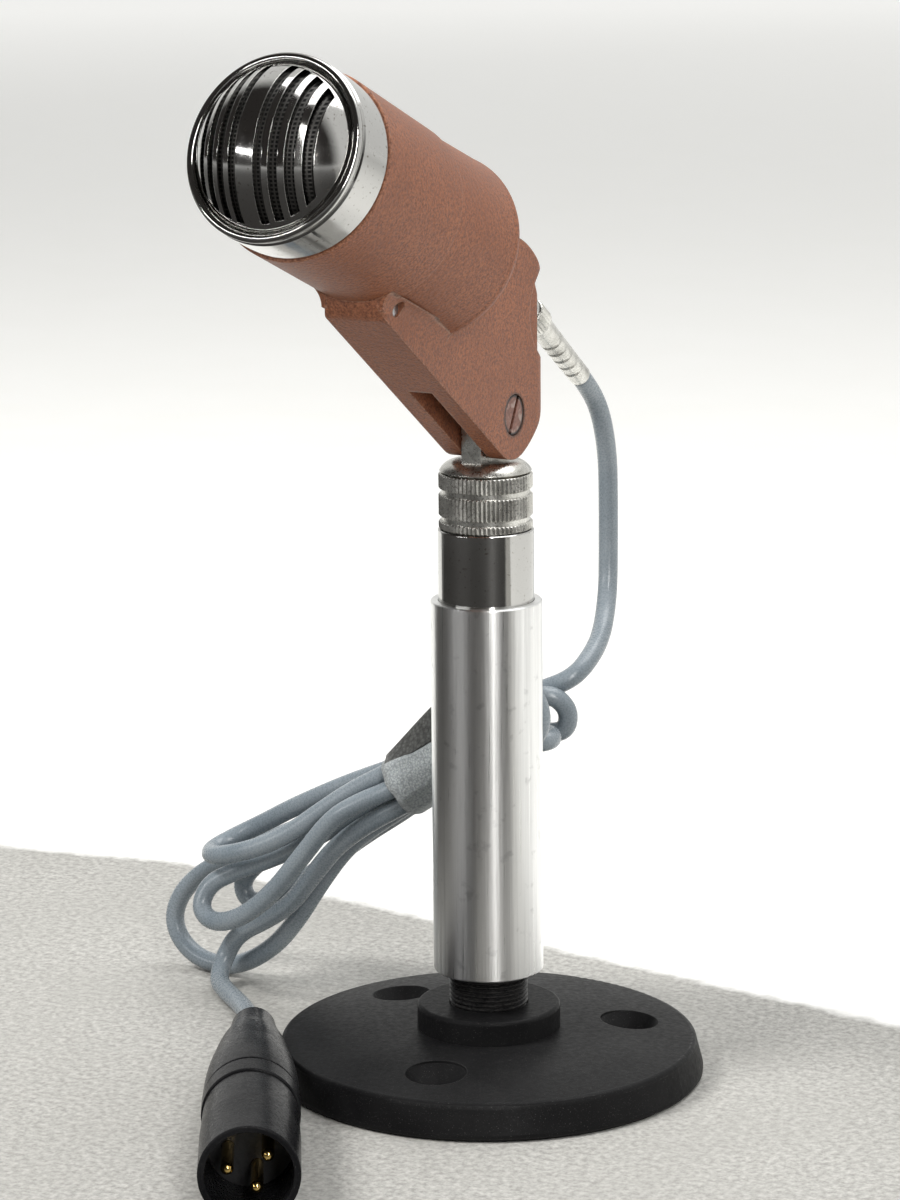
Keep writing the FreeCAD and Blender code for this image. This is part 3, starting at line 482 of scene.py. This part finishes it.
# ---------------------------------------------------------------- finishes of the CAD nodes
FINISH = {
    "hammertone": (hammertone(), ["mic_barrel", "rear_shell", "swivel_housing"]),
    "chrome": (chrome(), ["head_bezel", "grille", "chrome_sleeve", "connector_socket"]),
    "nickel": (nickel(), ["knurled_ring", "swivel_stem", "connector_nut", "connector_barrel"]),
    "aluminium": (brushed_aluminium(), ["stand_tube"]),
    "black": (black_satin(), ["base_flange", "hub_collar"]),
    "oxide": (black_oxide(), ["threaded_stud"]),
    "bolt": (bolt_brown(), ["pivot_bolt", "pivot_nut"]),
    "plug": (plug_black(), ["plug_shell", "plug_boot"]),
    "steel": (
        plain_metal("turned_steel", (0.56, 0.56, 0.57), (0.40, 0.40, 0.41), 0.25, 0.42),
        ["lower_bushing", "top_nipple", "stem_clip", "cross_pin", "capsule_cup", "top_plate", "pole_piece"],
    ),
    "brass": (
        plain_metal("brass", (0.68, 0.50, 0.22), (0.50, 0.35, 0.14), 0.25, 0.45),
        ["thrust_washer", "capsule_ring"],
    ),
    "gold": (
        plain_metal("gold_contact", (0.83, 0.60, 0.22), (0.70, 0.48, 0.16), 0.12, 0.25),
        ["plug_pins"],
    ),
    "copper": (
        plain_metal("copper_winding", (0.60, 0.27, 0.12), (0.38, 0.15, 0.06), 0.25, 0.45, 5200),
        ["voice_coil", "transformer_coil"],
    ),
    "magnet": (
        plain_metal("magnet_ground", (0.18, 0.18, 0.19), (0.10, 0.10, 0.11), 0.35, 0.6),
        ["magnet", "transformer_core"],
    ),
    "screen": (woven_screen(), ["grille_screen"]),
    "film": (
        plain_solid("diaphragm_film", (0.62, 0.52, 0.34), (0.52, 0.42, 0.26), 0.2, 0.35),
        ["diaphragm"],
    ),
    "board": (
        plain_solid("terminal_board", (0.36, 0.22, 0.10), (0.26, 0.15, 0.06), 0.5, 0.7),
        ["terminal_board"],
    ),
    "insulator": (
        plain_solid("insulator_black", (0.020, 0.020, 0.021), (0.010, 0.010, 0.011), 0.35, 0.55),
        ["plug_insert", "plug_chuck", "connector_insert"],
    ),
    "gasket": (
        plain_solid("gasket_rubber", (0.03, 0.03, 0.03), (0.02, 0.02, 0.02), 0.6, 0.85),
        ["capsule_gasket"],
    ),
    "fibre": (
        plain_solid("friction_fibre", (0.26, 0.11, 0.06), (0.18, 0.07, 0.04), 0.6, 0.8),
        ["friction_washers"],
    ),
}
for material, members in FINISH.values():
    for member in members:
        mesh = nodes[member].data
        mesh.materials.clear()
        mesh.materials.append(material)

# ---------------------------------------------------------------- cable
cable_finish = cable_pvc()
drop_line, drop_length = evenly(nurbs_points("drop_line", DROP), RING_STEP * MM)
main_route = LEAD + [on_hank(*p) for p in HANK] + TAIL
main_line, main_length = evenly(nurbs_points("main_line", main_route), RING_STEP * MM)

drop = tube_along("cable_down", drop_line, CABLE_R * MM, RING_SIDES, "start")
main = tube_along("cable_hank_and_tail", main_line, CABLE_R * MM, RING_SIDES, "end")
for piece in (drop, main):
    piece.data.materials.append(cable_finish)
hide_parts("cable_drop")
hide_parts("cable_lead", "cable_hank", "cable_tail")
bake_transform(drop)
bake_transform(main)

# ---------------------------------------------------------------- strap round the hank
# Where the band starts and ends down the hank's slope, half its inner width and depth, and how
# far its section is from an ellipse (1) towards a rectangle (0).
STRAP_FROM, STRAP_TO = 14.6, 39.2
STRAP_HALF = (5.8, 7.5)
STRAP_CORNER = 0.86


def layer_face(corners, stride, layer):
    """A face of a thick sheet's inner (0) or outer (1) layer, turned to look outward."""
    corners = [v + layer * stride for v in corners]
    return tuple(corners if layer else reversed(corners))


def strap_band(name, clear, thick, rows, around):
    """Closed band round the strands: soft-cornered section with a slightly wavy edge."""

    def soft_corner(share, half):
        return math.copysign(abs(share) ** STRAP_CORNER, share) * half

    verts, faces = [], []
    for layer in (0, 1):
        for i in range(rows + 1):
            share = i / rows
            waist = -0.25 * math.cos(math.pi * (share - 0.5) * 2)
            grow = clear + thick * layer + waist
            for k in range(around):
                a = 2 * math.pi * k / around
                swell = 1 + 0.018 * math.sin(6 * a + 0.7) + 0.012 * math.sin(11 * a)
                lip = 0.35 * math.sin(3 * a + 1.1) + 0.2 * math.sin(7 * a)
                down = STRAP_FROM + (STRAP_TO - STRAP_FROM) * share + lip * (2 * share - 1)
                across = soft_corner(math.sin(a), (STRAP_HALF[0] + grow) * swell)
                back = soft_corner(math.cos(a), (STRAP_HALF[1] + grow) * swell)
                verts.append(Vector(on_hank(down, across, back)) * MM)
    stride = (rows + 1) * around
    for k in range(around):
        n = (k + 1) % around
        for i in range(rows):
            here, there = i * around, (i + 1) * around
            for layer in (0, 1):
                faces.append(layer_face((here + k, here + n, there + n, there + k), stride, layer))
        for i in (0, rows):
            here, there = i * around, stride + i * around
            rim = (here + k, here + n, there + n, there + k)
            faces.append(tuple(reversed(rim)) if i else rim)
    return mesh_object(name, verts, faces)


def flap_sheet(name, rows, cols, thick):
    """Loose end of the strap: a tapering flap that stands up from the band behind the tube."""
    root_across, root_back = 4.6, -6.6
    far_edge, length = 39.3, 24.9
    verts, faces = [], []
    for layer in (0, 1):
        for i in range(rows + 1):
            u = i / rows
            for k in range(cols + 1):
                w = k / cols
                down = far_edge - length * w - 1.2 * u
                peak = 7.2 + 6.4 * w - 1.6 * w ** 3
                across = root_across + (peak - root_across) * u
                curl = 1.9 * u + 0.7 * math.sin(4.5 * w + 0.6) * u
                back = root_back + curl + layer * thick
                verts.append(Vector(on_hank(down, across, back)) * MM)
    width = cols + 1
    stride = (rows + 1) * width
    for layer in (0, 1):
        for i in range(rows):
            here, there = i * width, (i + 1) * width
            for k in range(cols):
                quad = (here + k, here + k + 1, there + k + 1, there + k)
                faces.append(layer_face(quad, stride, layer))
    rim = list(range(width))
    rim += [i * width + cols for i in range(1, rows + 1)]
    rim += [rows * width + k for k in range(cols - 1, -1, -1)]
    rim += [i * width for i in range(rows - 1, 0, -1)]
    for a, b in zip(rim, rim[1:] + rim[:1]):
        faces.append((a, b, b + stride, a + stride))
    return mesh_object(name, verts, faces)


strap_light = strap_cloth("strap_loop_side", (0.38, 0.41, 0.42), (0.20, 0.22, 0.23), 0.5)
strap_dark = strap_cloth("strap_hook_side", (0.095, 0.098, 0.095), (0.035, 0.036, 0.035), 0.8)
band = strap_band("strap_band", clear=0.05, thick=0.8, rows=12, around=72)
band.data.materials.append(strap_light)
flap = flap_sheet("strap_flap", rows=12, cols=14, thick=1.1)
flap.data.materials.append(strap_dark)
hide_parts("cable_strap")
for piece in (band, flap):
    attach(piece, "root")

# ---------------------------------------------------------------- table, camera and light
FLOOR_HALF = 9.0
FLOOR_Z = -0.0001
corners = [(x * FLOOR_HALF, y * FLOOR_HALF, FLOOR_Z) for x, y in ((-1, -1), (1, -1), (1, 1), (-1, 1))]
table = mesh_object("table", corners, [(0, 1, 2, 3)])
table.data.materials.append(table_top())

CAMERA_AT = Vector((346.16, -651.03, 259.07)) * MM
LOOK = Vector((-0.4670, 0.8580, -0.2139)).normalized()
ROLL = math.radians(-0.48)
level = LOOK.cross(Vector((0, 0, 1))).normalized()
above = level.cross(LOOK)
right = level * math.cos(ROLL) + above * math.sin(ROLL)
up = above * math.cos(ROLL) - level * math.sin(ROLL)
lens = bpy.data.cameras.new("camera")
lens.lens = 114.2
lens.sensor_width = 36.0
lens.clip_start = 0.01
camera = bpy.data.objects.new("camera", lens)
turn = Matrix((right, up, -LOOK)).transposed().to_4x4()
camera.matrix_world = Matrix.Translation(CAMERA_AT) @ turn
scene.collection.objects.link(camera)
scene.camera = camera


def softbox(name, place, aim, size, watts, tint=(1.0, 1.0, 1.0)):
    data = bpy.data.lights.new(name, "AREA")
    data.shape = "RECTANGLE"
    data.size, data.size_y = size
    data.energy = watts
    data.color = tint
    light = bpy.data.objects.new(name, data)
    light.location = place
    light.rotation_mode = "QUATERNION"
    light.rotation_quaternion = (Vector(aim) - Vector(place)).to_track_quat("-Z", "Y")
    scene.collection.objects.link(light)
    return light


key = softbox("key", (-0.62, -0.60, 1.12), (0, 0, 0.12), (0.40, 0.40), 15.0, (1.0, 0.985, 0.96))
key.visible_glossy = False
softbox("row", (-0.50, -0.84, 0.40), (0, -0.07, 0.19), (0.60, 0.05), 1.6)
softbox("strip", (0.74, -0.80, 0.62), (0, 0, 0.08), (0.12, 0.90), 7.0, (1.0, 0.99, 0.97))
softbox("top", (0.15, 0.30, 1.1), (0, 0, 0.1), (0.8, 0.8), 6.0)

# The room that polished metal mirrors is dark in front and light behind; the camera sees it pale.
world = bpy.data.worlds.new("studio")
scene.world = world
world.use_nodes = True
sky = world.node_tree
mirrored_room = sky.nodes["Background"]
direction = sky.nodes.new("ShaderNodeTexCoord")
parts = sky.nodes.new("ShaderNodeSeparateXYZ")
side = sky.nodes.new("ShaderNodeMath")
side.operation = "MULTIPLY_ADD"
side.inputs[1].default_value = DARK_TURN
share = sky.nodes.new("ShaderNodeMapRange")
share.inputs["From Min"].default_value = -0.9
share.inputs["From Max"].default_value = 0.9
ramp = sky.nodes.new("ShaderNodeValToRGB")
dark_end, bright_end = ramp.color_ramp.elements
dark_end.position, dark_end.color = 0.48, (0.035, 0.032, 0.030, 1)
bright_end.position, bright_end.color = 0.62, (0.85, 0.85, 0.83, 1)
pale_room = sky.nodes.new("ShaderNodeBackground")
pale_room.inputs["Color"].default_value = (0.88, 0.88, 0.86, 1)
ray = sky.nodes.new("ShaderNodeLightPath")
choose = sky.nodes.new("ShaderNodeMixShader")
for source, target in (
    (direction.outputs["Generated"], parts.inputs[0]),
    (parts.outputs["X"], side.inputs[0]),
    (parts.outputs["Y"], side.inputs[2]),
    (side.outputs[0], share.inputs["Value"]),
    (share.outputs["Result"], ramp.inputs["Fac"]),
    (ramp.outputs["Color"], mirrored_room.inputs["Color"]),
    (ray.outputs["Is Camera Ray"], choose.inputs[0]),
    (mirrored_room.outputs[0], choose.inputs[1]),
    (pale_room.outputs[0], choose.inputs[2]),
    (choose.outputs[0], sky.nodes["World Output"].inputs["Surface"]),
):
    sky.links.new(source, target)
scene.view_settings.view_transform = "Standard"
